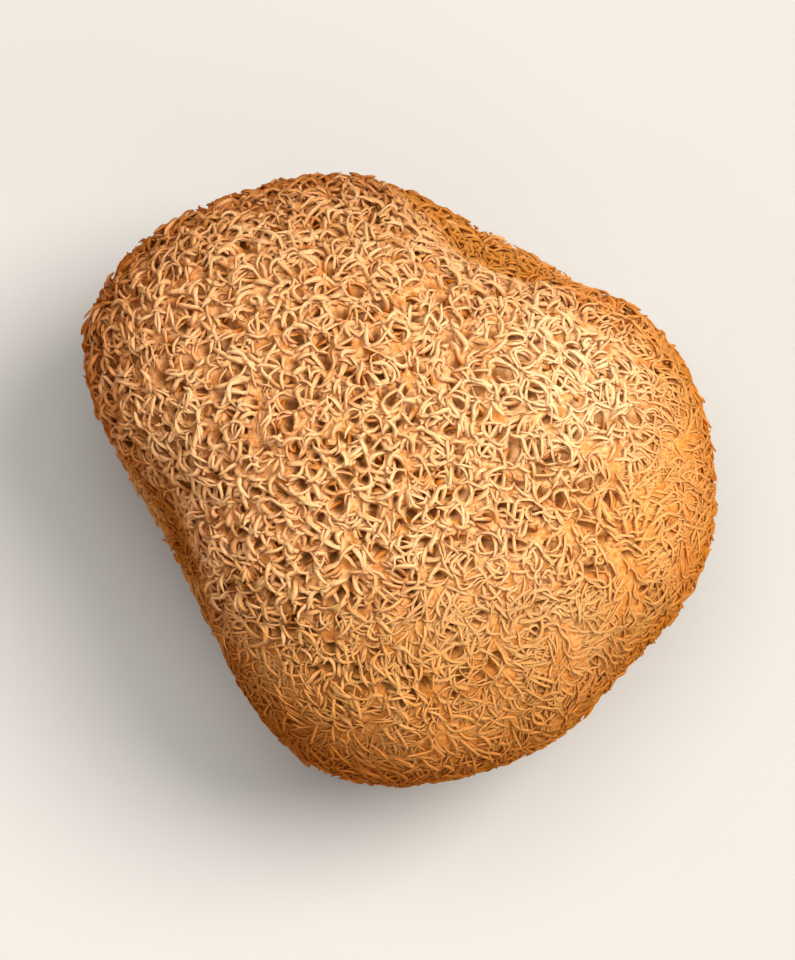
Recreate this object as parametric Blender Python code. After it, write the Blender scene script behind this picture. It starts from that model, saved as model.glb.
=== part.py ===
"""A dried lion's mane mushroom: one round fruiting body thick with short spines, cut off flat at its foot.

It stands on the cut, crown up. X runs along its longest way across, and the origin is under its middle,
on the cut. Seen from above with Y up the page, its big lobe is at the upper left.
"""

import math
import random

import bmesh
import bpy
from mathutils import Vector, noise

MM = 0.001

NAME = "mushroom"
COLLECTION = "lions_mane_mushroom"
FLESH_COLOUR = (0.62, 0.36, 0.15, 1)
FLESH_ROUGHNESS = 0.9

# The heart is the point inside the flesh that the form is measured from. The cut is the plane z = 0.
HEART = Vector((-2.0, 1.4, 19.0)) * MM
HALF_WIDTH = 25.3 * MM
CROWN_RISE = 18.6 * MM
FOOT_DROP = 21.0 * MM
SQUARENESS = 2.2

# Each lobe or hollow: azimuth and elevation in degrees, how far it swells, and how wide it is in degrees.
LOBES = {
    "upper left lobe": (151, 8, 3.0 * MM, 23),
    "right lobe": (-8, 6, 3.4 * MM, 36),
    "lower lobe": (-77, 4, 2.4 * MM, 37),
    "notch": (60, 12, -6.4 * MM, 25),
    "flat left side": (-153, 2, -8.4 * MM, 38),
    "crown": (150, 68, 1.2 * MM, 34),
}
LUMP_HEIGHT = 0.8 * MM
LUMPS_A_TURN = 2.6

# The flesh is netted by points strewn over the whole round form, and a spine stands in every mesh of the net.
NET_POINTS = 1800
NET_STREW = 0.028
NET_UNEVENNESS = 0.25 * MM
RIM_POINTS = 44
RIM_CLEARANCE = 1.5 * MM
CUT_RINGS = {0.5: 14}

SPINE_RISE = 1.2 * MM
SHORTEST_SPINE = 0.6
SPINE_LEAN = 0.6 * MM
BARE_FOOT = 4.0 * MM
SEED = 7


def direction(azimuth, elevation):
    """The unit vector at an azimuth and elevation in degrees."""
    turn = math.radians(azimuth)
    tilt = math.radians(elevation)
    return Vector((math.cos(turn) * math.cos(tilt), math.sin(turn) * math.cos(tilt), math.sin(tilt)))


def flesh_reach(way):
    """How far the flesh reaches from the heart in a direction, before the cut."""
    across = math.hypot(way.x, way.y) / HALF_WIDTH
    upright = abs(way.z) / (CROWN_RISE if way.z > 0 else FOOT_DROP)
    reach = (across**SQUARENESS + upright**SQUARENESS) ** (-1 / SQUARENESS)
    for azimuth, elevation, swell, width in LOBES.values():
        off = way.angle(direction(azimuth, elevation)) / math.radians(width)
        reach += swell * math.exp(-off * off)
    return reach + LUMP_HEIGHT * noise.noise(way * LUMPS_A_TURN)


def rim_point(azimuth):
    """The point at an azimuth where the flesh meets the cut, found by halving the range of elevations."""
    low, high = -89.0, 0.0
    for _ in range(40):
        middle = (low + high) / 2
        way = direction(azimuth, middle)
        if HEART.z + way.z * flesh_reach(way) > 0:
            high = middle
        else:
            low = middle
    way = direction(azimuth, high)
    point = HEART + way * flesh_reach(way)
    return Vector((point.x, point.y, 0))


def strewn_directions(count, vary):
    """Directions spread over the sphere on a golden spiral, then each moved a little at random."""
    golden_turn = math.degrees(math.pi * (3 - math.sqrt(5)))
    for index in range(count):
        height = 1 - (2 * index + 1) / count
        way = direction(index * golden_turn, math.degrees(math.asin(height)))
        stray = Vector((vary.uniform(-1, 1), vary.uniform(-1, 1), vary.uniform(-1, 1)))
        yield (way + stray * NET_STREW).normalized()


def net_of_points():
    """The points of the flesh's net, those of the cut among them, all exactly on the form."""
    vary = random.Random(SEED)
    points = []
    for way in strewn_directions(NET_POINTS, vary):
        point = HEART + way * (flesh_reach(way) + vary.uniform(-1, 1) * NET_UNEVENNESS)
        if point.z > RIM_CLEARANCE:
            points.append(point)
    rim = [rim_point(turn * 360 / RIM_POINTS) for turn in range(RIM_POINTS)]
    foot = Vector((HEART.x, HEART.y, 0))
    points += rim
    for share, count in CUT_RINGS.items():
        points += [foot.lerp(rim[turn * RIM_POINTS // count], share) for turn in range(count)]
    return points + [foot]


def netted_flesh():
    """A closed mesh over the net. The points are joined as on a ball, then moved out to the form."""
    points = net_of_points()
    mesh = bmesh.new()
    for point in points:
        mesh.verts.new((point - HEART).normalized())
    mesh.verts.ensure_lookup_table()
    bmesh.ops.convex_hull(mesh, input=mesh.verts)
    for vert, point in zip(mesh.verts, points, strict=True):
        vert.co = point
    bmesh.ops.recalc_face_normals(mesh, faces=mesh.faces)
    return mesh


def raise_spines(mesh):
    """Raises a three-sided spine in every mesh of the net off the cut, leaning down the flank."""
    vary = random.Random(SEED + 1)
    outer = [face for face in mesh.faces if any(vert.co.z > 0 for vert in face.verts)]
    normals = [face.normal.copy() for face in outer]
    tips = bmesh.ops.poke(mesh, faces=outer)["verts"]
    for tip, normal in zip(tips, normals, strict=True):
        cover = min(1, tip.co.z / BARE_FOOT)
        downhill = normal * normal.z - Vector((0, 0, 1))
        length = vary.uniform(SHORTEST_SPINE, 1) * cover
        tip.co += normal * SPINE_RISE * length + downhill * SPINE_LEAN * length


def flesh_material():
    material = bpy.data.materials.new("dried_flesh")
    material.use_nodes = True
    shader = material.node_tree.nodes["Principled BSDF"]
    shader.inputs["Base Color"].default_value = FLESH_COLOUR
    shader.inputs["Roughness"].default_value = FLESH_ROUGHNESS
    shader.inputs["Metallic"].default_value = 0
    material.diffuse_color = FLESH_COLOUR
    return material


def build():
    for thing in list(bpy.data.objects):
        bpy.data.objects.remove(thing, do_unlink=True)
    collection = bpy.data.collections.new(COLLECTION)
    bpy.context.scene.collection.children.link(collection)

    form = netted_flesh()
    raise_spines(form)
    data = bpy.data.meshes.new(NAME)
    form.to_mesh(data)
    form.free()
    data.materials.append(flesh_material())
    collection.objects.link(bpy.data.objects.new(NAME, data))


build()
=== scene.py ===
"""The looks of a dried lion's mane mushroom: its flesh, the curled spines that cover it, light and camera.

Lengths are in metres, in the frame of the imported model: Z up from the cut at the foot, X to the right and
Y up the page when the crown is looked down on. Heights over the form are counted outward from flesh_reach.
"""

import math

import bpy
import numpy as np
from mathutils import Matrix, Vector, noise
from mathutils.kdtree import KDTree


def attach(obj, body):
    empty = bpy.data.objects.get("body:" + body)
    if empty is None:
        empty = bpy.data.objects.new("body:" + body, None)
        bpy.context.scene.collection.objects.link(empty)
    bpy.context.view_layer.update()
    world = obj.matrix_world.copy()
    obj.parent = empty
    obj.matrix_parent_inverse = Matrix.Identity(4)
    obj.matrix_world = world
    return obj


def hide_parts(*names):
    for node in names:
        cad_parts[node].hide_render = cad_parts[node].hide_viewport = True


MM = 0.001
BODY = "root"
NODE = "mushroom"
SEED = 20
# What is added to the places where each use reads the noise, so that no two uses show the same pattern.
NOISE_OFFSETS = {
    "lumps": 0.0,
    "curl edge": 7.3,
    "quick swirl": 21.0,
    "slow swirl": 27.0,
    "flanks": 33.0,
    "roots": 41.0,
    "coarse grain": 3.0,
    "fine grain": 11.0,
    "ribs": 5.0,
    "wander along": 1.0,
    "wander across": 6.0,
    "folds": 2.0,
    "mottle": 9.0,
    "fine mottle": 4.0,
}

# The round form and its lobes, as in the solid.
HEART = np.array((-2.0, 1.4, 19.0)) * MM
HALF_WIDTH = 25.3 * MM
CROWN_RISE = 18.6 * MM
FOOT_DROP = 21.0 * MM
SQUARENESS = 2.2
# Each lobe or hollow: azimuth and elevation in degrees, how far it swells, and how wide it is in degrees.
LOBES = {
    "upper left lobe": (151, 8, 3.0 * MM, 23),
    "right lobe": (-8, 6, 3.4 * MM, 36),
    "lower lobe": (-77, 4, 2.4 * MM, 37),
    "notch": (60, 12, -6.4 * MM, 25),
    "flat left side": (-153, 2, -8.4 * MM, 38),
    "crown": (150, 68, 1.2 * MM, 34),
}
LUMP_HEIGHT = 0.8 * MM
LUMPS_A_TURN = 2.6
# A direction that the form's directions are crossed with to step along it, and how long a step is.
ASKEW = (0.31, 0.17, 0.93)
NORMAL_STEP = 0.01
# The search for the rim of the cut: the lowest elevation in degrees, and how often the range is halved.
LOWEST_ELEVATION = -89.0
HALVINGS = 30


def unit(vectors):
    return vectors / np.linalg.norm(vectors, axis=-1, keepdims=True)


def direction(azimuth, elevation):
    """Unit vectors at azimuths and elevations in degrees."""
    turn = np.radians(azimuth)
    tilt = np.radians(elevation)
    return np.stack((np.cos(turn) * np.cos(tilt), np.sin(turn) * np.cos(tilt), np.sin(tilt) + 0 * turn), -1)


def smooth_step(value, start, end):
    """From 0 at start to 1 at end, which may be the lower one."""
    share = np.clip((value - start) / (end - start), 0, 1)
    return share * share * (3 - 2 * share)


def angles_from(ways, centre):
    """The angles in degrees between unit vectors and one direction."""
    return np.degrees(np.arccos(np.clip(ways @ centre, -1, 1)))


def noise_at(places, use):
    """Smooth noise from about -1 to 1 at each place of an array of any shape, for a use in NOISE_OFFSETS."""
    flat = places.reshape(-1, 3) + NOISE_OFFSETS[use]
    return np.array([noise.noise(place) for place in flat]).reshape(places.shape[:-1])


def flesh_reach(ways):
    """How far the form reaches from the heart in each direction, before the cut."""
    across = np.hypot(ways[..., 0], ways[..., 1]) / HALF_WIDTH
    upright = np.abs(ways[..., 2]) / np.where(ways[..., 2] > 0, CROWN_RISE, FOOT_DROP)
    reach = (across**SQUARENESS + upright**SQUARENESS) ** (-1 / SQUARENESS)
    for azimuth, elevation, swell, width in LOBES.values():
        off = angles_from(ways, direction(azimuth, elevation)) / width
        reach = reach + swell * np.exp(-off * off)
    return reach + LUMP_HEIGHT * noise_at(ways * LUMPS_A_TURN, "lumps")


def form_points(ways):
    return HEART + ways * flesh_reach(ways)[..., None]


def form_normals(ways):
    """The outward normals of the form, from two short steps along it."""
    step = NORMAL_STEP
    aside = unit(np.cross(ways, ASKEW))
    along = np.cross(ways, aside)
    edge_a = form_points(unit(ways + step * aside)) - form_points(unit(ways - step * aside))
    edge_b = form_points(unit(ways + step * along)) - form_points(unit(ways - step * along))
    normals = unit(np.cross(edge_a, edge_b))
    return normals * np.sign((normals * ways).sum(-1, keepdims=True))


def rim_elevations(azimuths):
    """The elevations at which the form meets the cut, found by halving the range."""
    low = np.full(azimuths.shape, LOWEST_ELEVATION)
    high = np.zeros(azimuths.shape)
    for _ in range(HALVINGS):
        middle = (low + high) / 2
        above = form_points(direction(azimuths, middle))[..., 2] > 0
        high = np.where(above, middle, high)
        low = np.where(above, low, middle)
    return high


# Where the spines stand curled apart, and where they are matted into the flesh. Widths are in degrees.
CURL_CENTRE = direction(120, 62)
CURL_EDGE = (64, 88)
CURL_EDGE_WANDER = 16
CURL_EDGE_FINENESS = 3.1
PALE_SHOULDER = direction(18, 47)
PALE_WIDTH = 17
SHOULDER_MATTING = 0.3
# The normal's Z at which spines start to hang down a flank, and at which they hang fully.
HANG_FROM = (0.55, 0.0)
HANGING_FLATNESS = 0.7


def rim_matting(ways):
    """From 0 on the crown and the left side, to 1 on the lower and right rim, where spines are matted."""
    ragged = CURL_EDGE_WANDER * noise_at(ways * CURL_EDGE_FINENESS, "curl edge")
    return smooth_step(angles_from(ways, CURL_CENTRE) + ragged, *CURL_EDGE)


def pale_shoulder(ways):
    """1 at the middle of the pale shoulder, falling off round it."""
    return np.exp(-((angles_from(ways, PALE_SHOULDER) / PALE_WIDTH) ** 2))


def matting(ways):
    """From 0, where spines stand curled apart, to 1, where they are matted flat into the flesh."""
    return np.maximum(rim_matting(ways), SHOULDER_MATTING * pale_shoulder(ways))


def hanging_down(normals):
    """From 0 where the form is nearly level, to 1 on its flanks."""
    return smooth_step(normals[..., 2], *HANG_FROM)


def flatness(ways, normals):
    """From 0, where spines stand curled apart, to 1, where they lie flat on the flesh."""
    return np.maximum(matting(ways), HANGING_FLATNESS * hanging_down(normals))


# How far candidates are strewn off their even spiral, over the square root of their number.
STREWN_OFF = 1.7
# Keeps the direction down the form from vanishing where it is level.
NUDGE = 1e-6
# How far each swirl turns the spines, in radians, and how fine it is.
QUICK_SWIRL = 3.0 * math.pi
QUICK_FINENESS = 11.0
SLOW_SWIRL = 1.2 * math.pi
SLOW_FINENESS = 6.0


def strewn(rng, candidates, gap_of, lowest, full_from):
    """Directions scattered over the form, no two closer on it than gap_of gives there.

    They stop at the lowest height, and are thinned out from there to the height full_from.
    """
    index = np.arange(candidates)
    height = 1 - (2 * index + 1) / candidates
    turn = index * math.pi * (3 - math.sqrt(5))
    level = np.sqrt(1 - height * height)
    ways = np.stack((level * np.cos(turn), level * np.sin(turn), height), -1)
    ways = unit(ways + rng.normal(0, STREWN_OFF / math.sqrt(candidates), ways.shape))
    points = form_points(ways)
    keep = points[:, 2] > rng.uniform(lowest, full_from, candidates)
    ways, points = ways[keep], points[keep]
    gaps = gap_of(ways)
    homes = np.floor(points / gaps.max()).astype(int)
    steps = [(x, y, z) for x in (-1, 0, 1) for y in (-1, 0, 1) for z in (-1, 0, 1)]
    taken = {}
    chosen = []
    for candidate in rng.permutation(len(points)):
        point = points[candidate]
        gap = gaps[candidate]
        x, y, z = homes[candidate].tolist()
        near = (other for i, j, k in steps for other in taken.get((x + i, y + j, z + k), ()))
        if all(math.dist(point, other) > gap for other in near):
            taken.setdefault((x, y, z), []).append(point.tolist())
            chosen.append(candidate)
    return ways[chosen]


def down_and_aside(ways, normals):
    """Level directions over the form: straight down its flank, and square to that."""
    down = unit(np.array((0, 0, -1)) + normals * normals[:, 2:3] + NUDGE * ways)
    return down, np.cross(normals, down)


def swirl(ways, matted):
    """Angles that turn every millimetre or two over the curled zone, and more slowly where it is matted."""
    quick = QUICK_SWIRL * noise_at(ways * QUICK_FINENESS, "quick swirl")
    slow = SLOW_SWIRL * noise_at(ways * SLOW_FINENESS, "slow swirl")
    return quick * (1 - matted) + slow * matted


# The small dark pits between the spines. Each is one round hole or a short slit of two or three.
PIT_CANDIDATES = 30000
PIT_GAP = 1.5 * MM
PIT_GAP_SHOULDER = 1.95 * MM
PIT_KEPT = 0.95
FILLED_WHERE_MATTED = 0.9
FILLED_ON_FLANKS = 0.7
# How wide a hole is kept clear of spines, how much wider on the shoulder, and how much narrower in a slit.
PIT_CLEAR = (0.36 * MM, 0.65 * MM)
WIDER_ON_SHOULDER = 0.25
NARROWER_A_HOLE = 0.1
PIT_BORDER = 0.65 * MM
PIT_STRAY = 0.3
SLIT_STEP = 0.54 * MM
SLIT_SHARES = (0.14, 0.41, 0.45)
LOWEST_PIT = 7 * MM
FULL_PITS = 1.5 * LOWEST_PIT


def pit_gaps(ways):
    return PIT_GAP + (PIT_GAP_SHOULDER - PIT_GAP) * pale_shoulder(ways)


class Pits:
    """The holes' places on the form, how wide each is kept clear, and a tree that finds the nearest."""

    def __init__(self, rng):
        ways = strewn(rng, PIT_CANDIDATES, pit_gaps, LOWEST_PIT, FULL_PITS)
        draw = rng.uniform(0, 1, len(ways))
        normals = form_normals(ways)
        filled = np.maximum(FILLED_WHERE_MATTED * rim_matting(ways), FILLED_ON_FLANKS * hanging_down(normals))
        kept = (draw < PIT_KEPT) & (draw > filled)
        ways, normals = ways[kept], normals[kept]
        places = form_points(ways)
        down, aside = down_and_aside(ways, normals)
        turn = (swirl(ways, matting(ways)) + rng.normal(0, PIT_STRAY, len(ways)))[:, None]
        lay = down * np.cos(turn) + aside * np.sin(turn)
        holes = rng.choice((1, 2, 3), len(ways), p=SLIT_SHARES)
        clear = rng.uniform(*PIT_CLEAR, len(ways)) * (1 + NARROWER_A_HOLE - NARROWER_A_HOLE * holes)
        clear = clear * (1 + WIDER_ON_SHOULDER * pale_shoulder(ways))
        shifts = [(own - 1) / 2 * -SLIT_STEP for own in holes]
        self.places = np.array([places[i] + lay[i] * (shifts[i] + step * SLIT_STEP)
                                for i in range(len(ways)) for step in range(holes[i])])
        self.clear = np.repeat(clear, holes)
        self.tree = KDTree(len(self.places))
        for index, place in enumerate(self.places):
            self.tree.insert(place, index)
        self.tree.balance()

    def nearest(self, points, outward):
        """The level offset of each point from its nearest hole, how long it is, and how wide the hole is."""
        found = np.array([self.tree.find(point)[1] for point in points.reshape(-1, 3)])
        found = found.reshape(points.shape[:-1])
        offset = points - self.places[found]
        offset = offset - outward * (offset * outward).sum(-1, keepdims=True)
        return offset, np.linalg.norm(offset, axis=-1), self.clear[found]


# The flesh under the spines: a grid of rows from the crown to the rim of the cut, and on to its middle.
FLESH_COLUMNS = 400
FLESH_ROWS = 166
CUT_ROWS = 36
FLESH_LEVEL = -0.02 * MM
MATTED_RISE = 0.34 * MM
GRAIN_HEIGHT = 0.09 * MM
GRAIN_SIZE = 1.1 * MM
FINE_GRAIN_SIZE = 0.45 * MM
FINE_GRAIN_SHARE = 0.6
RIB_HEIGHT = 0.35 * MM
RIB_SIZE = 0.8 * MM
RIBS_DRAWN_UP = np.array((1, 1, 0.25))
RIBS_FADE = (3 * MM, 8 * MM)
# Where a pit's wall starts and ends, as shares of how wide it is kept clear.
PIT_WALL = (0.3, 1.3)
PIT_DEPTH = 1.0 * MM
# How far above the cut the flesh is drawn in to the form, and how far inside the rim the cut starts to lift.
FOOT_BLEND = 2.5 * MM
CUT_BLEND = 1.0 * MM


def flesh_rise(ways, points):
    """How far the flesh lies over the form: lower under curled spines, grained, and ribbed near the foot."""
    level = FLESH_LEVEL + MATTED_RISE * matting(ways)
    grain = noise_at(points / GRAIN_SIZE, "coarse grain")
    grain = grain + FINE_GRAIN_SHARE * noise_at(points / FINE_GRAIN_SIZE, "fine grain")
    ribs = np.abs(noise_at(points * RIBS_DRAWN_UP / RIB_SIZE, "ribs"))
    near_foot = 1 - smooth_step(points[..., 2], *RIBS_FADE)
    return level * (1 - near_foot) + GRAIN_HEIGHT * grain - RIB_HEIGHT * ribs * near_foot


# Holes and creases of the cut, in millimetres from its middle. A hole has a place, a radius and a depth.
CUT_HOLES = (
    (-3.1, 3.9, 0.75, 2.6),
    (-2.3, 3.5, 0.5, 1.8),
    (3.5, 4.9, 0.4, 1.3),
    (1.4, -1.1, 0.45, 1.6),
    (0.8, -0.9, 0.35, 1.2),
    (-4.3, -2.7, 0.25, 0.9),
    (0.3, 3.6, 0.2, 0.7),
    (-2.2, -2.0, 0.28, 0.8),
    (4.9, -0.6, 0.2, 0.6),
)
# A crease has its two ends, a width and a depth, and it fades out towards its second end.
CUT_CREASES = (
    (-3.2, 4.2, -8.8, 10.2, 0.42, 0.9),
    (1.6, -1.4, 8.6, -9.8, 0.34, 0.7),
    (3.6, 5.2, 5.4, 10.8, 0.28, 0.4),
    (-3.0, 3.6, -8.2, 2.2, 0.26, 0.45),
    (1.2, -1.2, -3.4, -3.4, 0.24, 0.35),
    (-4.4, -2.8, -9.6, -5.8, 0.22, 0.3),
)
# Where their walls start and end, in radii and widths. Each crease has a wide shallow valley too.
HOLE_WALL = (0.5, 1.3)
CREASE_WALL = (0.1, 1.4)
CREASE_FADE = 0.8
# How much painted shade a crease gets, as a share of a hole's.
CREASE_DARKNESS = 0.6
VALLEY_WALL = (0.5, 5)
VALLEY_SHARE = 0.3
# How far the noise moves them, in millimetres, and the size of its waves.
CUT_WANDER = ((1.3, 5 * MM), (0.35, 1.2 * MM))
# The folds that run from the middle to the rim, and the soft mottle over all of the cut.
CUT_FOLD = 0.3 * MM
FOLDS_A_TURN = 1.6
FOLD_LENGTH = 14 * MM
FOLD_WIDTH = 0.3
FOLDS_FROM = (2 * MM, 7 * MM)
CUT_MOTTLE = 0.22 * MM
MOTTLE_SIZE = 1.6 * MM
FINE_MOTTLE_SIZE = 0.7 * MM
FINE_MOTTLE_SHARE = 0.5


def cut_lift(places):
    """How far the dried cut draws up at level places on it, and how much painted shade its holes and creases
    get there, from 0 to 1.
    """
    wander = np.stack([sum(far * noise_at(places / size, use) for far, size in CUT_WANDER)
                       for use in ("wander along", "wander across")], -1)
    spots = places[..., :2] / MM + wander
    painted_shade = np.zeros(places.shape[:-1])
    depth = np.zeros(places.shape[:-1])
    for x, y, radius, deep in CUT_HOLES:
        share = 1 - smooth_step(np.hypot(spots[..., 0] - x, spots[..., 1] - y) / radius, *HOLE_WALL)
        painted_shade = np.maximum(painted_shade, share)
        depth = np.maximum(depth, deep * share)
    for x0, y0, x1, y1, width, deep in CUT_CREASES:
        run = np.array((x1 - x0, y1 - y0))
        along = np.clip(((spots - (x0, y0)) @ run) / (run @ run), 0, 1)
        far = np.linalg.norm(spots - (x0, y0) - along[..., None] * run, axis=-1) / width
        share = (1 - smooth_step(far, *CREASE_WALL)) * (1 - CREASE_FADE * along)
        valley = (1 - smooth_step(far, *VALLEY_WALL)) * (1 - along)
        painted_shade = np.maximum(painted_shade, CREASE_DARKNESS * share)
        depth = np.maximum(depth, deep * (share + VALLEY_SHARE * valley))
    radius = np.linalg.norm(places, axis=-1)
    azimuth = np.arctan2(places[..., 1], places[..., 0])
    x_round = np.cos(azimuth) * FOLDS_A_TURN
    y_round = np.sin(azimuth) * FOLDS_A_TURN
    folds = noise_at(np.stack((x_round, y_round, radius / FOLD_LENGTH), -1), "folds")
    folds = (1 - smooth_step(np.abs(folds), 0.0, FOLD_WIDTH)) * smooth_step(radius, *FOLDS_FROM)
    mottle = noise_at(places / MOTTLE_SIZE, "mottle")
    mottle = mottle + FINE_MOTTLE_SHARE * noise_at(places / FINE_MOTTLE_SIZE, "fine mottle")
    return depth * MM + CUT_FOLD * folds + CUT_MOTTLE * np.clip(mottle, 0, 1), painted_shade


def flesh_grid(pits):
    """Rows of points, each once round the mushroom, from the crown to the middle of the cut.

    For each point it also gives its painted shade, from how deep in a pit it is and on the cut from its holes
    and creases, and how flat the spines lie there, both from 0 to 1.
    """
    azimuths = np.arange(FLESH_COLUMNS) * 360 / FLESH_COLUMNS
    rims = rim_elevations(azimuths)
    shares = np.linspace(0, 1, FLESH_ROWS)[:, None]
    ways = direction(azimuths[None, :], 90 - shares * (90 - rims[None, :]))
    points = form_points(ways)
    held = smooth_step(points[..., 2], 0, FOOT_BLEND)
    _, far, clear = pits.nearest(points, ways)
    pitted = 1 - smooth_step(far / clear, *PIT_WALL)
    outer = points + ways * (flesh_rise(ways, points) * held - PIT_DEPTH * pitted)[..., None]
    rim = outer[-1] * np.array((1, 1, 0))
    outer[-1] = rim
    lying = flatness(ways, form_normals(ways))

    shares = np.linspace(0, 1, CUT_ROWS)[1:, None, None]
    foot = np.array((HEART[0], HEART[1], 0))
    cut = rim[None] * (1 - shares) + foot * shares
    lift, painted_shade = cut_lift(cut - foot)
    inward = np.linalg.norm(rim[None] - cut, axis=-1)
    cut[..., 2] = lift * smooth_step(inward, 0, CUT_BLEND)
    grid = np.concatenate((outer, cut))
    return grid, np.concatenate((pitted, painted_shade)), np.concatenate((lying, np.ones(painted_shade.shape)))


def grid_faces(rows, columns):
    """Quads between rows that follow each other, wrapping round."""
    row, column = np.meshgrid(np.arange(rows - 1), np.arange(columns), indexing="ij")
    after = (column + 1) % columns
    here = row * columns
    below = (row + 1) * columns
    return np.stack((here + column, below + column, below + after, here + after), -1).reshape(-1, 4)


def store(mesh, name, kind, values):
    """Keep values on a mesh's points. The kind is FLOAT or FLOAT_VECTOR."""
    attribute = mesh.attributes.new(name, kind, "POINT")
    member = "vector" if kind == "FLOAT_VECTOR" else "value"
    attribute.data.foreach_set(member, values.astype(np.float32).ravel())


def add_map(mesh, parts):
    """Give a mesh a map for a bake, from arrays of the faces' corners in their order."""
    uv = np.concatenate([part.reshape(-1, 2) for part in parts])
    mesh.uv_layers.new(name="OFBake").data.foreach_set("uv", uv.astype(np.float32).ravel())


def add_piece(name, mesh, material):
    mesh.shade_smooth()
    mesh.materials.append(material)
    piece = bpy.data.objects.new(name, mesh)
    bpy.context.scene.collection.objects.link(piece)
    return piece


def map_flesh(mesh, rows):
    """A map that goes once round the mushroom across, and from the crown to the middle of the cut upwards."""
    columns = np.arange(FLESH_COLUMNS)
    row = np.arange(1, rows - 2)
    shape = (len(row), FLESH_COLUMNS, 4)
    u = np.stack((columns, columns, columns + 1, columns + 1), -1) / FLESH_COLUMNS
    v = np.stack((row, row + 1, row + 1, row), -1) / (rows - 1)
    quads = np.stack((np.broadcast_to(u[None], shape), np.broadcast_to(v[:, None], shape)), -1)
    crown_u = np.stack((columns + 0.5, columns, columns + 1), -1) / FLESH_COLUMNS
    crown_v = np.array((0, 1, 1)) / (rows - 1)
    foot_u = np.stack((columns + 1, columns, columns + 0.5), -1) / FLESH_COLUMNS
    foot_v = np.array((rows - 2, rows - 2, rows - 1)) / (rows - 1)
    crown = np.stack((crown_u, np.broadcast_to(crown_v, crown_u.shape)), -1)
    foot = np.stack((foot_u, np.broadcast_to(foot_v, foot_u.shape)), -1)
    add_map(mesh, (quads, crown, foot))


def make_flesh(material, pits):
    """The flesh, closed by a fan at the crown and one at the middle of the cut."""
    grid, pitted, lying = flesh_grid(pits)
    rows = len(grid)
    middle = grid[1:-1].reshape(-1, 3)
    top = len(middle)
    verts = np.concatenate((middle, grid[0, :1], grid[-1, :1]))
    quads = grid_faces(rows - 2, FLESH_COLUMNS)
    columns = np.arange(FLESH_COLUMNS)
    after = (columns + 1) % FLESH_COLUMNS
    last = (rows - 3) * FLESH_COLUMNS
    crown_fan = np.stack((np.full_like(columns, top), columns, after), -1)
    foot_fan = np.stack((last + after, last + columns, np.full_like(columns, top + 1)), -1)
    mesh = bpy.data.meshes.new("flesh")
    mesh.from_pydata(verts.tolist(), [], quads.tolist() + crown_fan.tolist() + foot_fan.tolist())
    map_flesh(mesh, rows)
    # The painted shade of pits, and of the cut's holes and creases.
    store(mesh, "pitted", "FLOAT", np.concatenate((pitted[1:-1].ravel(), (0, 0))))
    store(mesh, "lying", "FLOAT", np.concatenate((lying[1:-1].ravel(), (0, 1))))
    return add_piece("flesh", mesh, material)


# The spines: where they stand and how each is drawn, as a tube of rings.
SPINE_CANDIDATES = 180000
LOWEST_ROOT = 1.4 * MM
FULL_ROOTS = 4.5 * MM
SPINE_GAP = 0.50 * MM
SPINE_GAP_MATTED = 0.44 * MM
SECTORS = 8
RINGS = 8
SIDES = 3
FLOOR_CLEAR = 0.1 * MM

# How they lie: how far each strays, in radians, and how they turn on the flanks.
STRAY = 0.5
STRAY_MATTED = 0.3
FLANK_TURN = 1.7
FLANK_FINENESS = 12.0

# Their lengths and thicknesses in millimetres, and the shares that these vary by.
LENGTH = 2.35
LONGER_MATTED = 0.25
SHORTER_HANGING = 0.4
LENGTH_SHARES = (0.7, 1.2)
LENGTH_AT_FOOT = 0.45
FULL_LENGTH = (2 * MM, 9 * MM)
THICKNESS = 0.225
THINNER_FLAT = 0.07
THICKNESS_SHARES = (0.65, 1.3)
RING_SHARES = (0.82, 1.18)
# Places along a spine, from 0 at its root to 1 at its tip, and the share of its thickness there.
TAPER = ((0, 1.15), (0.25, 1.0), (0.7, 0.86), (0.92, 0.66), (1, 0.36))

# How far they lean off the normal at the root and curl over by the tip, in degrees.
LEAN = (12, 38)
LEAN_FLAT = (70, 79)
CURL = (90, 145)
CURL_FLAT = (14, 40)
# How far they bend and wave sideways, in radians.
BEND = 1.0
STRAIGHTER_FLAT = 0.3
WAVE = 0.5
RING_STRAY = 0.025 * MM
SMOOTHING = 0.6
# A few, where they do not lie flat, stand nearly straight and short.
ERECT_SHARE = 0.08
ERECT_BELOW = 0.5
ERECT_LENGTH = 0.6
ERECT_CURL = 0.25

# How far under the form their roots are.
SINK = 0.37 * MM
SINK_FLAT = 0.13 * MM
SINK_WAVES = 0.22 * MM
SINK_WAVE_SIZE = 1.3 * MM
SINK_WAVES_EVENED = 0.5
SINK_STRAY = 0.03 * MM

# A ring counts as deep by its height over the form, and a deep ring gets painted shade as if low between
# spines: where that starts, and where it is full.
DEEP_FROM = (0.55 * MM, -0.2 * MM)
# How much less that and the tints count where spines lie flat.
FLAT_EVENNESS = 0.6
# The share of it that counts away from pits, and where all of it does, as a share of a pit's clear width.
DEEP_ANYWHERE = 0.45
BY_PIT_FROM = 0.6

# Where a spine's fibres are read in the noise: its length there, and how far on the next spine's are.
FIBRES_ALONG = 2
FIBRES_APART = 3.7
# The share of a spine's cell in the map for a bake that is left free on each side.
CELL_MARGIN = 0.05


def lie_of_spines(ways, normals, matted, rng):
    """Level directions: down the flanks and in swirls on the crown. Also how far each hangs, from 0 to 1."""
    down, aside = down_and_aside(ways, normals)
    hanging = hanging_down(normals)
    stray = rng.normal(0, 1, len(ways)) * (STRAY + STRAY_MATTED * matted)
    on_flanks = FLANK_TURN * noise_at(ways * FLANK_FINENESS, "flanks")
    turn = swirl(ways, matted) * (1 - hanging) + on_flanks * hanging + stray
    return down * np.cos(turn)[:, None] + aside * np.sin(turn)[:, None], hanging


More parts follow.
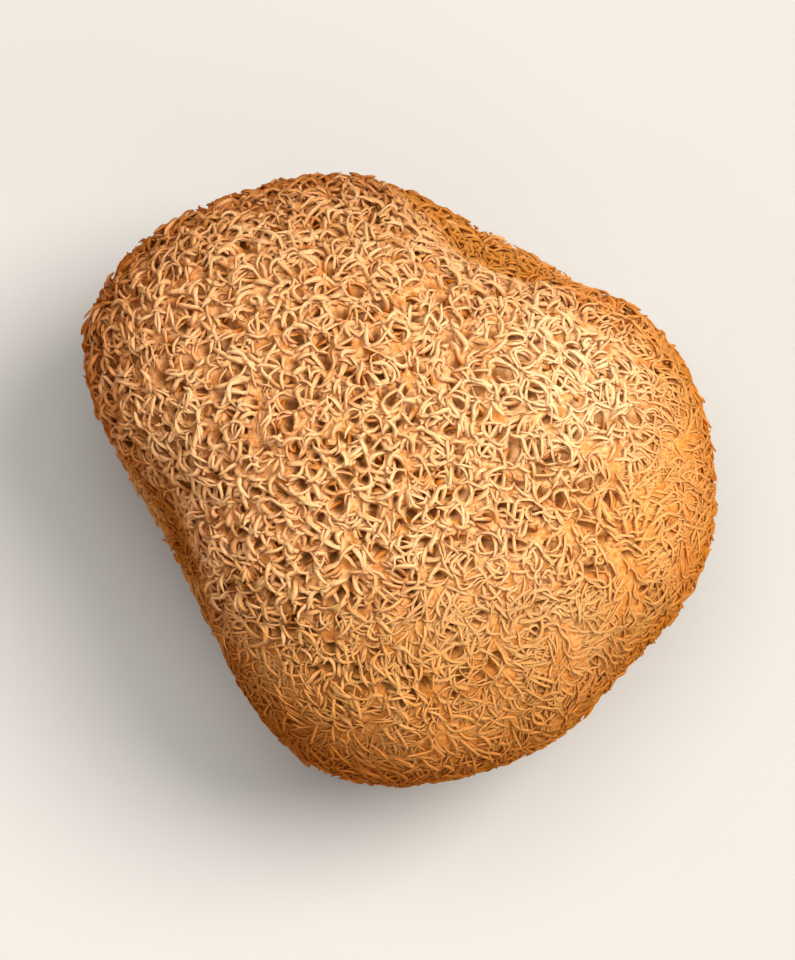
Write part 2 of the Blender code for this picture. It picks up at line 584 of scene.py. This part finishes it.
def drawn(rng, standing, lying, flat):
    """A value per spine, from one range where spines stand to another where they lie flat."""
    return rng.uniform(*standing, len(flat)) * (1 - flat) + rng.uniform(*lying, len(flat)) * flat


def spine_measures(points, matted, hanging, flat, rng):
    """Each spine's length and thickness, and in radians how it leans, curls, bends and waves."""
    count = len(points)
    erect = (rng.uniform(0, 1, count) < ERECT_SHARE) & (flat < ERECT_BELOW)
    length = LENGTH + LONGER_MATTED * matted - SHORTER_HANGING * hanging
    length = length * rng.uniform(*LENGTH_SHARES, count) * np.where(erect, ERECT_LENGTH, 1) * MM
    length *= LENGTH_AT_FOOT + (1 - LENGTH_AT_FOOT) * smooth_step(points[:, 2], *FULL_LENGTH)
    thick = (THICKNESS - THINNER_FLAT * flat) * rng.uniform(*THICKNESS_SHARES, count) * MM
    lean = np.radians(drawn(rng, LEAN, LEAN_FLAT, flat))
    curl = np.radians(drawn(rng, CURL, CURL_FLAT, flat))
    curl = np.where(erect, ERECT_CURL * curl, curl)
    bend = rng.normal(0, BEND, count) * (1 - STRAIGHTER_FLAT * flat)
    wave = rng.normal(0, WAVE, count)
    return length, thick, lean, curl, bend, wave


def centrelines(ways, pits, rng):
    """Per spine and ring: the centre, the ways along and across the spine, the radius and how deep it is,
    which sets its painted shade.
    """
    points = form_points(ways)
    normals = form_normals(ways)
    matted = matting(ways)
    flat = flatness(ways, normals)
    lay, hanging = lie_of_spines(ways, normals, matted, rng)
    side = np.cross(normals, lay)
    length, thick, lean, curl, bend, wave = spine_measures(points, matted, hanging, flat, rng)
    sink = SINK * (1 - flat) ** 2 + SINK_FLAT * flat - FLESH_LEVEL - MATTED_RISE * matted
    waves = SINK_WAVES * noise_at(points / SINK_WAVE_SIZE, "roots") * (1 - SINK_WAVES_EVENED * flat)
    sink -= waves + rng.normal(0, SINK_STRAY, len(ways))

    # Each ring is one step on from the last, along a way that tilts over and turns.
    shares = np.linspace(0, 1, RINGS)
    step = (length / (RINGS - 1))[:, None]
    centres = np.empty((len(ways), RINGS, 3))
    across = np.empty((len(ways), RINGS, 3))
    place = points - normals * sink[:, None]
    for ring, share in enumerate(shares):
        tilt = (lean + curl * share)[:, None]
        turn = (bend * share + wave * math.sin(2 * math.pi * share))[:, None]
        level = lay * np.cos(turn) + side * np.sin(turn)
        across[:, ring] = side * np.cos(turn) - lay * np.sin(turn)
        centres[:, ring] = place
        place = place + (normals * np.cos(tilt) + level * np.sin(tilt)) * step
    centres += rng.normal(0, RING_STRAY, centres.shape) * shares[None, :, None]

    # Rings near a pit are pushed out of it, and the bent spine is then smoothed.
    height = ((centres - points[:, None]) * normals[:, None]).sum(-1)
    offset, far, clear = pits.nearest(centres, np.broadcast_to(normals[:, None], centres.shape))
    reach = clear + PIT_BORDER
    # Painted shade: rings low down between the spines are darkened, and more so by a pit.
    by_pit = 1 - smooth_step(far, BY_PIT_FROM * clear, reach)
    deep = smooth_step(height, *DEEP_FROM) * (1 - FLAT_EVENNESS * flat)[:, None]
    deep = deep * (DEEP_ANYWHERE + (1 - DEEP_ANYWHERE) * by_pit)
    push = np.where(far < reach, clear * (1 - far / reach) / far, 0)
    centres += offset * push[..., None]
    between = (centres[:, :-2] + centres[:, 2:]) / 2
    centres[:, 1:-1] += SMOOTHING * (between - centres[:, 1:-1])
    heading = unit(np.gradient(centres, axis=1))
    across = unit(across - heading * (across * heading).sum(-1, keepdims=True))
    taper = np.interp(shares, *zip(*TAPER, strict=True))
    radii = thick[:, None] * taper * rng.uniform(*RING_SHARES, (len(ways), RINGS))
    return {"centres": centres, "heading": heading, "across": across, "radii": radii, "deep": deep}


def map_spines(mesh, count):
    """A map that gives each spine its own cell: round it across, and from root to tip upwards."""
    rows = RINGS + 1
    around = np.arange(SIDES)
    last = np.full(SIDES, RINGS)
    row, column = np.meshgrid(np.arange(1, RINGS), around, indexing="ij")
    tube = np.stack((column, row, column + 1, row, column + 1, row + 1, column, row + 1), -1)
    tip = np.stack((around, last, around + 1, last, around + 0.5, last + 1), -1)
    root = np.stack((around[::-1] * SIDES / (SIDES - 1), around % 2 * 0.8), -1)
    cells = math.ceil(math.sqrt(count))
    corner = np.stack((np.arange(count) % cells, np.arange(count) // cells), -1)[:, None] + CELL_MARGIN

    def placed(shape):
        inside = shape.reshape(-1, 2) / np.array((SIDES, rows)) * (1 - 2 * CELL_MARGIN)
        return (inside[None] + corner) / cells

    add_map(mesh, [placed(shape) for shape in (tube, tip, root)])


def spine_mesh(name, lines, tints):
    """A mesh of tubes, each of RINGS rings of SIDES points, flat at the root and with a point at the tip."""
    centres, heading, across, radii = (lines[key] for key in ("centres", "heading", "across", "radii"))
    count = len(centres)
    angles = np.arange(SIDES) * 2 * math.pi / SIDES
    over = np.cross(heading, across)
    ring = across[:, :, None] * np.cos(angles)[:, None] + over[:, :, None] * np.sin(angles)[:, None]
    tube = centres[:, :, None] + ring * radii[:, :, None, None]
    tip = centres[:, -1] + heading[:, -1] * radii[:, -1:]
    verts = np.concatenate((tube.reshape(count, -1, 3), tip[:, None]), 1)
    verts[..., 2] = np.maximum(verts[..., 2], FLOOR_CLEAR)
    each = verts.shape[1]

    around = np.arange(SIDES)
    last = (RINGS - 1) * SIDES
    tube_faces = grid_faces(RINGS, SIDES)[:, ::-1]
    tip_faces = np.stack((last + around, last + (around + 1) % SIDES, np.full(SIDES, each - 1)), -1)
    start = (np.arange(count) * each)[:, None, None]
    faces = (tube_faces[None] + start).reshape(-1, 4).tolist()
    faces += (tip_faces[None] + start).reshape(-1, 3).tolist()
    faces += (around[None, ::-1] + start[:, 0]).tolist()
    mesh = bpy.data.meshes.new(name)
    mesh.from_pydata(verts.reshape(-1, 3).tolist(), [], faces)

    along = np.append(np.repeat(np.linspace(0, 1, RINGS), SIDES), 1)
    # How deep each point lies, which sets the painted shade low down between the spines.
    deep = np.concatenate((np.repeat(lines["deep"], SIDES, 1), lines["deep"][:, -1:]), 1)
    turns = np.append(np.tile(around / SIDES, RINGS), 0) * 2 * math.pi
    strand = np.stack((np.cos(turns), np.sin(turns), FIBRES_ALONG * along), -1)[None].repeat(count, 0)
    strand[..., :2] += (np.arange(count) * FIBRES_APART)[:, None, None]
    store(mesh, "deep", "FLOAT", deep)
    store(mesh, "tint", "FLOAT", np.repeat(tints, each))
    store(mesh, "strand", "FLOAT_VECTOR", strand)
    map_spines(mesh, count)
    return mesh


def spine_gaps(ways):
    return SPINE_GAP + (SPINE_GAP_MATTED - SPINE_GAP) * flatness(ways, form_normals(ways))


def make_spines(material, pits, rng):
    """All the spines, in pieces by the sector of azimuths that their roots are in."""
    ways = strewn(rng, SPINE_CANDIDATES, spine_gaps, LOWEST_ROOT, FULL_ROOTS)
    lines = centrelines(ways, pits, rng)
    evened = 1 - FLAT_EVENNESS * flatness(ways, form_normals(ways))
    tints = 0.5 + rng.uniform(-0.5, 0.5, len(ways)) * evened
    azimuths = np.degrees(np.arctan2(ways[:, 1], ways[:, 0])) % 360
    sector = np.floor(azimuths / 360 * SECTORS).astype(int)
    made = []
    for number in range(SECTORS):
        own = sector == number
        name = f"spines_{number + 1}"
        mesh = spine_mesh(name, {key: values[own] for key, values in lines.items()}, tints[own])
        made.append(add_piece(name, mesh, material))
    return made


class Nodes:
    """A short way to add linked nodes to a material."""

    def __init__(self, name):
        self.material = bpy.data.materials.new(name)
        self.material.use_nodes = True
        self.tree = self.material.node_tree
        self.shader = self.tree.nodes["Principled BSDF"]

    def add(self, kind, inputs=None, **settings):
        node = self.tree.nodes.new(kind)
        for key, value in settings.items():
            setattr(node, key, value)
        for key, value in (inputs or {}).items():
            self.feed(node.inputs[key], value)
        return node

    def feed(self, socket, value):
        if isinstance(value, bpy.types.NodeSocket):
            self.tree.links.new(value, socket)
        else:
            socket.default_value = value

    def mix(self, share, first, second, blend="MIX"):
        """A mix of colours. Its sockets go by number, because those for other kinds have the same names."""
        inputs = {0: share, 6: first, 7: second}
        return self.add("ShaderNodeMix", inputs, data_type="RGBA", blend_type=blend).outputs[2]

    def shaded(self, share, colour, shade):
        """The colour, multiplied by the shade as far as share says."""
        return self.mix(share, colour, self.mix(1.0, colour, shade, "MULTIPLY"))

    def math(self, operation, first, second=0.0, third=0.0):
        node = self.add("ShaderNodeMath", {0: first, 1: second, 2: third}, operation=operation)
        return node.outputs[0]

    def ramp(self, value, start, end, low=0.0, high=1.0):
        inputs = {"Value": value, "From Min": start, "From Max": end, "To Min": low, "To Max": high}
        return self.add("ShaderNodeMapRange", inputs, interpolation_type="SMOOTHSTEP").outputs["Result"]

    def noise(self, vector, scale, detail=2.0, roughness=0.5):
        inputs = {"Vector": vector, "Scale": scale, "Detail": detail, "Roughness": roughness}
        return self.add("ShaderNodeTexNoise", inputs).outputs["Fac"]

    def place(self):
        return self.add("ShaderNodeTexCoord").outputs["Object"]

    def read(self, name, output="Fac"):
        return self.add("ShaderNodeAttribute", attribute_name=name).outputs[output]

    def distance(self, centre):
        """How far it is to a place in metres."""
        inputs = {0: self.place(), 1: tuple(centre)}
        return self.add("ShaderNodeVectorMath", inputs, operation="DISTANCE").outputs["Value"]

    def near(self, centre, inner, outer):
        """1 within inner of a place in metres, falling to 0 at outer."""
        return self.ramp(self.distance(centre), inner, outer, 1.0, 0.0)

    def finish(self, colour, height, strength, depth):
        """Colour and bump the shader as dull, slightly translucent flesh, and give the material."""
        self.feed(self.shader.inputs["Base Color"], colour)
        bump = self.add("ShaderNodeBump", {"Height": height, "Strength": strength, "Distance": depth})
        self.feed(self.shader.inputs["Normal"], bump.outputs[0])
        self.shader.inputs["Specular IOR Level"].default_value = SPECULAR
        self.shader.inputs["Subsurface Weight"].default_value = SUBSURFACE
        self.shader.inputs["Subsurface Radius"].default_value = SUBSURFACE_RADII
        self.shader.inputs["Subsurface Scale"].default_value = SUBSURFACE_SCALE
        return self.material


def srgb(red, green, blue):
    """A shader colour from red, green and blue as seen on a screen, 0 to 255."""
    def linear(value):
        share = value / 255
        return share / 12.92 if share <= 0.04045 else ((share + 0.055) / 1.055) ** 2.4

    return (linear(red), linear(green), linear(blue), 1.0)


SPECULAR = 0.06
SUBSURFACE = 0.25
SUBSURFACE_RADII = (1.0, 0.45, 0.2)
SUBSURFACE_SCALE = 0.6 * MM

TAN = srgb(239, 189, 136)
PINKISH_TAN = srgb(231, 175, 122)
PALE = srgb(247, 203, 154)
GOLD = srgb(225, 161, 93)
BROWN = srgb(184, 124, 58)
RED_BROWN = srgb(178, 104, 38)
PAINTED_PIT_SHADE = srgb(106, 58, 10)
CREAM = srgb(244, 222, 182)
GREYISH_CREAM = srgb(222, 192, 154)
SIDE_TAN = srgb(212, 142, 74)
PALE_GOLD = srgb(238, 184, 116)
BURNT = srgb(160, 94, 40)
GLOW = srgb(241, 166, 78)
# Painted shade: colours that other colours are multiplied by to darken them as shade would, at the rim warmed
# like bounced light.
PAINTED_RIM_SHADE = srgb(228, 199, 126)
PAINTED_END_SHADE = srgb(238, 236, 229)
PAINTED_SPINE_SHADE = srgb(194, 149, 62)
PAINTED_FLESH_SHADE = srgb(218, 190, 138)
PAINTED_DEEP_SHADE = srgb(204, 175, 126)

# Noises in the colours: how fine each is, its detail, and its roughness.
DRIFT_NOISE = (110.0, 3.0)
MOTTLE_NOISE = (330.0, 3.0, 0.6)
BLOTCH_NOISE = (150.0, 4.0, 0.6)
RAGGED_NOISE = (90.0, 4.0, 0.6)
FIBRE_NOISE = (3.2, 3.0, 0.6)
GRAIN_NOISE = (1500.0, 4.0, 0.6)
SPOT_NOISE = (300.0, 4.0, 0.6)
CUT_NOISE = (160.0, 3.0, 0.6)

# Places on the form, each with how far round it a colour is full and where it has faded out.
UPPER_LEFT = ((-0.020, 0.012, 0.028), 0.006, 0.024)
# SHOULDER_TOP is the shoulder that faces the key lamp: paler partly by its own tone, and partly as a painted
# highlight.
SHOULDER_TOP = ((0.015, 0.007, 0.034), 0.002, 0.012)
NOTCH_RIGHT = ((0.0175, 0.0155, 0.024), 0.0, 0.009)
NOTCH_MIDDLE = ((0.0055, 0.0205, 0.023), 0.003, 0.010)
CREAM_CENTRE = (-0.001, 0.0005, 0.0)

# Smooth ramps: where each starts and ends, and the shares it gives there if they are not 0 and 1.
# These go by place or distance, in metres.
RIGHT_EDGE = (0.006, 0.022)
LOWER_EDGE = (-0.006, -0.021)
# FLANK_TOP and LEFT_SIDE: red-brown down the flanks, partly their own colour and partly painted shade that
# grows to the left, away from the key lamp.
FLANK_TOP = (0.0365, 0.022)
LEFT_SIDE = (-0.024, 0.008, 0.2, 0.95)
# LOWER_END, UPPER_END and RIM_TOP: painted shade towards the lower and upper ends and towards the rim.
LOWER_END = (-0.006, -0.015)
UPPER_END = (0.013, 0.023)
RIM_TOP = (0.030, 0.021)
SIDES_TOP = (0.033, 0.021)
FOOT_TOP = (0.006, 0.0015)
GLOW_EDGE = (0.0185, 0.016)
CREAM_EDGE = (0.0180, 0.0095)
# This one adds to the blotches' noise.
PALER_LOW = (0.016, 0.005, 0.0, 0.08)
# These go by a noise's value.
PINKISH_FROM = (0.4, 0.62)
BROWN_MOTTLE = (0.5, 0.34, 0.0, 0.3)
PALE_MOTTLE = (0.52, 0.68, 0.0, 0.3)
BURNT_BLOTCHES = (0.48, 0.33, 0.0, 0.85)
PALE_BLOTCHES = (0.5, 0.66, 0.0, 0.9)
BROWN_FIBRES = (0.35, 0.7, 0.0, 0.3)
ROUGH_FIBRES = (0.3, 0.7, 0.78, 0.95)
LIGHT_GRAIN = (0.38, 0.62, 0.0, 0.7)
PALE_SPOTS = (0.4, 0.7)
GREYISH_SPOTS = (0.45, 0.68)
# These go by a spine's own tint.
PALE_TINT = (0.6, 1.0, 0.0, 0.34)
BROWN_TINT = (0.35, 0.0, 0.0, 0.28)

# The side away from the key lamp, towards which the painted shade on the flanks grows.
SHADED_SIDE = direction(180, 0)
NOTCH_LIGHTER = 0.6
SIDES_RAGGED = 0.026
CUT_RAGGED = 0.010
# How strongly the pits and the cut's holes and creases are painted with shade.
PIT_DARKNESS = 0.85
FIBRE_BUMP = (0.65, 0.12 * MM)
GRAIN_BUMP = (0.8, 0.3 * MM)
FLESH_ROUGHNESS = 0.9


def crown_colour(nodes, place, axes):
    """Tan on top, gold and mottled to the right and below, and red-brown down the flanks; with painted shade
    down the left flank, towards the ends and towards the rim, and a partly painted highlight on the shoulder
    that faces the key lamp.
    """
    drift = nodes.noise(place, *DRIFT_NOISE)
    colour = nodes.mix(nodes.ramp(drift, *PINKISH_FROM), TAN, PINKISH_TAN)
    colour = nodes.mix(nodes.near(*UPPER_LEFT), colour, PINKISH_TAN)
    right = nodes.ramp(axes["X"], *RIGHT_EDGE)
    low = nodes.ramp(axes["Y"], *LOWER_EDGE)
    edge = nodes.math("MAXIMUM", right, low)
    colour = nodes.mix(edge, colour, GOLD)
    mottle = nodes.noise(place, *MOTTLE_NOISE)
    colour = nodes.mix(nodes.math("MULTIPLY", edge, nodes.ramp(mottle, *BROWN_MOTTLE)), colour, BROWN)
    colour = nodes.mix(nodes.math("MULTIPLY", edge, nodes.ramp(mottle, *PALE_MOTTLE)), colour, PALE_GOLD)
    # Paler on the shoulder that faces the key lamp: partly its own tone, partly a painted highlight.
    colour = nodes.mix(nodes.near(*SHOULDER_TOP), colour, PALE)
    colour = nodes.mix(nodes.near(*NOTCH_RIGHT), colour, SIDE_TAN)
    lighter = nodes.math("MULTIPLY", nodes.near(*NOTCH_MIDDLE), NOTCH_LIGHTER)
    # Red-brown down the flanks: partly their own colour, and painted shade that grows to the left, away from
    # the key lamp, and towards the rim.
    flank = nodes.math("MULTIPLY", nodes.ramp(axes["Z"], *FLANK_TOP), nodes.math("SUBTRACT", 1.0, lighter))
    to_left = nodes.add("ShaderNodeVectorMath", {0: place, 1: tuple(SHADED_SIDE)}, operation="DOT_PRODUCT")
    brown_and_shade = nodes.ramp(to_left.outputs["Value"], *LEFT_SIDE)
    colour = nodes.mix(nodes.math("MULTIPLY", flank, brown_and_shade), colour, RED_BROWN)
    # Painted shade towards the lower and upper ends.
    ends = nodes.math("ADD", nodes.ramp(axes["Y"], *LOWER_END), nodes.ramp(axes["Y"], *UPPER_END))
    colour = nodes.shaded(ends, colour, PAINTED_END_SHADE)
    # Painted shade towards the rim all round, warmed like bounced light.
    return nodes.shaded(nodes.ramp(axes["Z"], *RIM_TOP), colour, PAINTED_RIM_SHADE)


def side_colour(nodes, place, axes):
    """Tan with blotches of burnt brown and pale gold, paler towards the foot."""
    blotches = nodes.noise(place, *BLOTCH_NOISE)
    colour = nodes.mix(nodes.ramp(blotches, *BURNT_BLOTCHES), SIDE_TAN, BURNT)
    paler = nodes.math("ADD", blotches, nodes.ramp(axes["Z"], *PALER_LOW))
    return nodes.mix(nodes.ramp(paler, *PALE_BLOTCHES), colour, PALE_GOLD)


def zone_colour(nodes):
    """The colour of the spines' tops over the whole mushroom, with its painted shade and highlight, before
    each spine's own tint.
    """
    place = nodes.place()
    axes = nodes.add("ShaderNodeSeparateXYZ", {0: place}).outputs
    colour = crown_colour(nodes, place, axes)
    side = side_colour(nodes, place, axes)
    ragged = nodes.math("MULTIPLY_ADD", nodes.noise(place, *RAGGED_NOISE), SIDES_RAGGED, axes["Z"])
    colour = nodes.mix(nodes.ramp(ragged, *SIDES_TOP), colour, side)
    return nodes.mix(nodes.ramp(axes["Z"], *FOOT_TOP), colour, GLOW)


def spine_material():
    nodes = Nodes("spines")
    tint = nodes.read("tint")
    colour = zone_colour(nodes)
    colour = nodes.mix(nodes.ramp(tint, *PALE_TINT), colour, PALE)
    colour = nodes.mix(nodes.ramp(tint, *BROWN_TINT), colour, BROWN)
    # Painted shade on the spines, low down between them and most by the pits.
    colour = nodes.shaded(nodes.read("deep"), colour, PAINTED_SPINE_SHADE)
    fibre = nodes.noise(nodes.read("strand", "Vector"), *FIBRE_NOISE)
    colour = nodes.shaded(nodes.ramp(fibre, *BROWN_FIBRES), colour, BROWN)
    nodes.feed(nodes.shader.inputs["Roughness"], nodes.ramp(fibre, *ROUGH_FIBRES))
    return nodes.finish(colour, fibre, *FIBRE_BUMP)


def flesh_material():
    nodes = Nodes("flesh")
    place = nodes.place()
    grain = nodes.noise(place, *GRAIN_NOISE)
    spots = nodes.noise(place, *SPOT_NOISE)
    drift = nodes.noise(place, *CUT_NOISE)
    zone = zone_colour(nodes)
    # Painted shade on the flesh seen between the spines: more where they stand curled over it than where they
    # lie flat, broken up by grain.
    shade = nodes.mix(nodes.read("lying"), PAINTED_DEEP_SHADE, PAINTED_FLESH_SHADE)
    painted_shade = nodes.mix(1.0, zone, shade, "MULTIPLY")
    colour = nodes.mix(nodes.ramp(grain, *LIGHT_GRAIN), painted_shade, zone)
    edge = nodes.math("MULTIPLY_ADD", drift, CUT_RAGGED, nodes.distance(CREAM_CENTRE))
    glow = nodes.mix(nodes.ramp(spots, *PALE_SPOTS), GLOW, PALE_GOLD)
    colour = nodes.mix(nodes.ramp(edge, *GLOW_EDGE), colour, glow)
    cream = nodes.mix(nodes.ramp(spots, *GREYISH_SPOTS), CREAM, GREYISH_CREAM)
    colour = nodes.mix(nodes.ramp(edge, *CREAM_EDGE), colour, cream)
    # Painted shade in the pits, and in the cut's holes and creases.
    colour = nodes.mix(nodes.math("MULTIPLY", nodes.read("pitted"), PIT_DARKNESS), colour, PAINTED_PIT_SHADE)
    nodes.shader.inputs["Roughness"].default_value = FLESH_ROUGHNESS
    return nodes.finish(colour, grain, *GRAIN_BUMP)


# The stage.
FLOOR_REACH = 3.0
FLOOR_FLAT = 1.2
FLOOR_RISE = 0.5
FLOOR_CELLS = 60
FLOOR_NOISE = (14.0, 3.0)
FLOOR_DARK = (0.39, 0.382, 0.372, 1)
FLOOR_LIGHT = (0.415, 0.408, 0.398, 1)
FLOOR_ROUGHNESS = 0.8
TARGET = Vector((0.0, 0.0, 0.019))
CAMERA_AZIMUTH = -90
CAMERA_ELEVATION = 83
CAMERA_DISTANCE = 0.6
CAMERA_LENS = 262
# Each light comes from a wide round patch of sky. Its middle and its width are in degrees.
LIGHTS = {
    "key": {"azimuth": 18, "elevation": 57, "width": 31, "strength": 4.08, "colour": (1, 0.95, 0.88)},
    "top": {"azimuth": 100, "elevation": 80, "width": 38, "strength": 1.95, "colour": (1, 0.97, 0.93)},
    "low": {"azimuth": -50, "elevation": 28, "width": 45, "strength": 1.0, "colour": (1, 0.97, 0.93)},
    "fill": {"azimuth": 215, "elevation": 35, "width": 45, "strength": 0.25, "colour": (1, 0.98, 0.95)},
}
SKY = (1.0, 0.99, 0.97, 1)
SKY_STRENGTH = 0.32


def aim(thing, target):
    thing.rotation_euler = (target - thing.location).to_track_quat("-Z", "Y").to_euler()


def floor_material():
    nodes = Nodes("floor")
    cloud = nodes.noise(nodes.place(), *FLOOR_NOISE)
    nodes.feed(nodes.shader.inputs["Base Color"], nodes.mix(cloud, FLOOR_DARK, FLOOR_LIGHT))
    nodes.shader.inputs["Roughness"].default_value = FLOOR_ROUGHNESS
    return nodes.material


def make_floor():
    """A floor that is flat round the mushroom and curves up far from it, so that no view shows its end."""
    cells = FLOOR_CELLS
    bpy.ops.mesh.primitive_grid_add(x_subdivisions=cells, y_subdivisions=cells, size=2 * FLOOR_REACH)
    floor = bpy.context.object
    floor.name = "floor"
    for vert in floor.data.vertices:
        beyond = max(0, math.hypot(vert.co.x, vert.co.y) - FLOOR_FLAT) / (FLOOR_REACH - FLOOR_FLAT)
        vert.co.z = FLOOR_RISE * beyond**2
    floor.data.shade_smooth()
    floor.data.materials.append(floor_material())


def make_lights():
    for name, light in LIGHTS.items():
        lamp = bpy.data.lights.new(name, "SUN")
        lamp.angle = math.radians(light["width"])
        lamp.energy = light["strength"]
        lamp.color = light["colour"]
        holder = bpy.data.objects.new(name, lamp)
        holder.location = TARGET + Vector(direction(light["azimuth"], light["elevation"]))
        aim(holder, TARGET)
        bpy.context.scene.collection.objects.link(holder)
    world = bpy.data.worlds.new("sky")
    world.use_nodes = True
    background = world.node_tree.nodes["Background"]
    background.inputs["Color"].default_value = SKY
    background.inputs["Strength"].default_value = SKY_STRENGTH
    bpy.context.scene.world = world


def make_camera():
    camera = bpy.data.objects.new("camera", bpy.data.cameras.new("camera"))
    camera.data.lens = CAMERA_LENS
    camera.location = TARGET + Vector(direction(CAMERA_AZIMUTH, CAMERA_ELEVATION)) * CAMERA_DISTANCE
    aim(camera, TARGET)
    bpy.context.scene.collection.objects.link(camera)
    bpy.context.scene.camera = camera
    bpy.context.scene.view_settings.view_transform = "Standard"


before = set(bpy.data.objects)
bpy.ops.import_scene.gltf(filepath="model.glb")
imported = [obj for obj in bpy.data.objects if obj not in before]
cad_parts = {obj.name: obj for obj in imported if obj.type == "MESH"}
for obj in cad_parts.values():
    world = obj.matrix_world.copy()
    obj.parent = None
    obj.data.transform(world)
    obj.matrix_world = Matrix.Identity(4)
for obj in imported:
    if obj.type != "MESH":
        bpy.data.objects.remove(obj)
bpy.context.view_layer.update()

make_camera()
make_lights()
make_floor()
rng = np.random.default_rng(SEED)
pits = Pits(rng)
flesh = make_flesh(flesh_material(), pits)
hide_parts(NODE)
pieces = [flesh, *make_spines(spine_material(), pits, rng)]
for piece in pieces:
    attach(piece, BODY)
    print(piece.name, "triangles", sum(len(face.vertices) - 2 for face in piece.data.polygons))
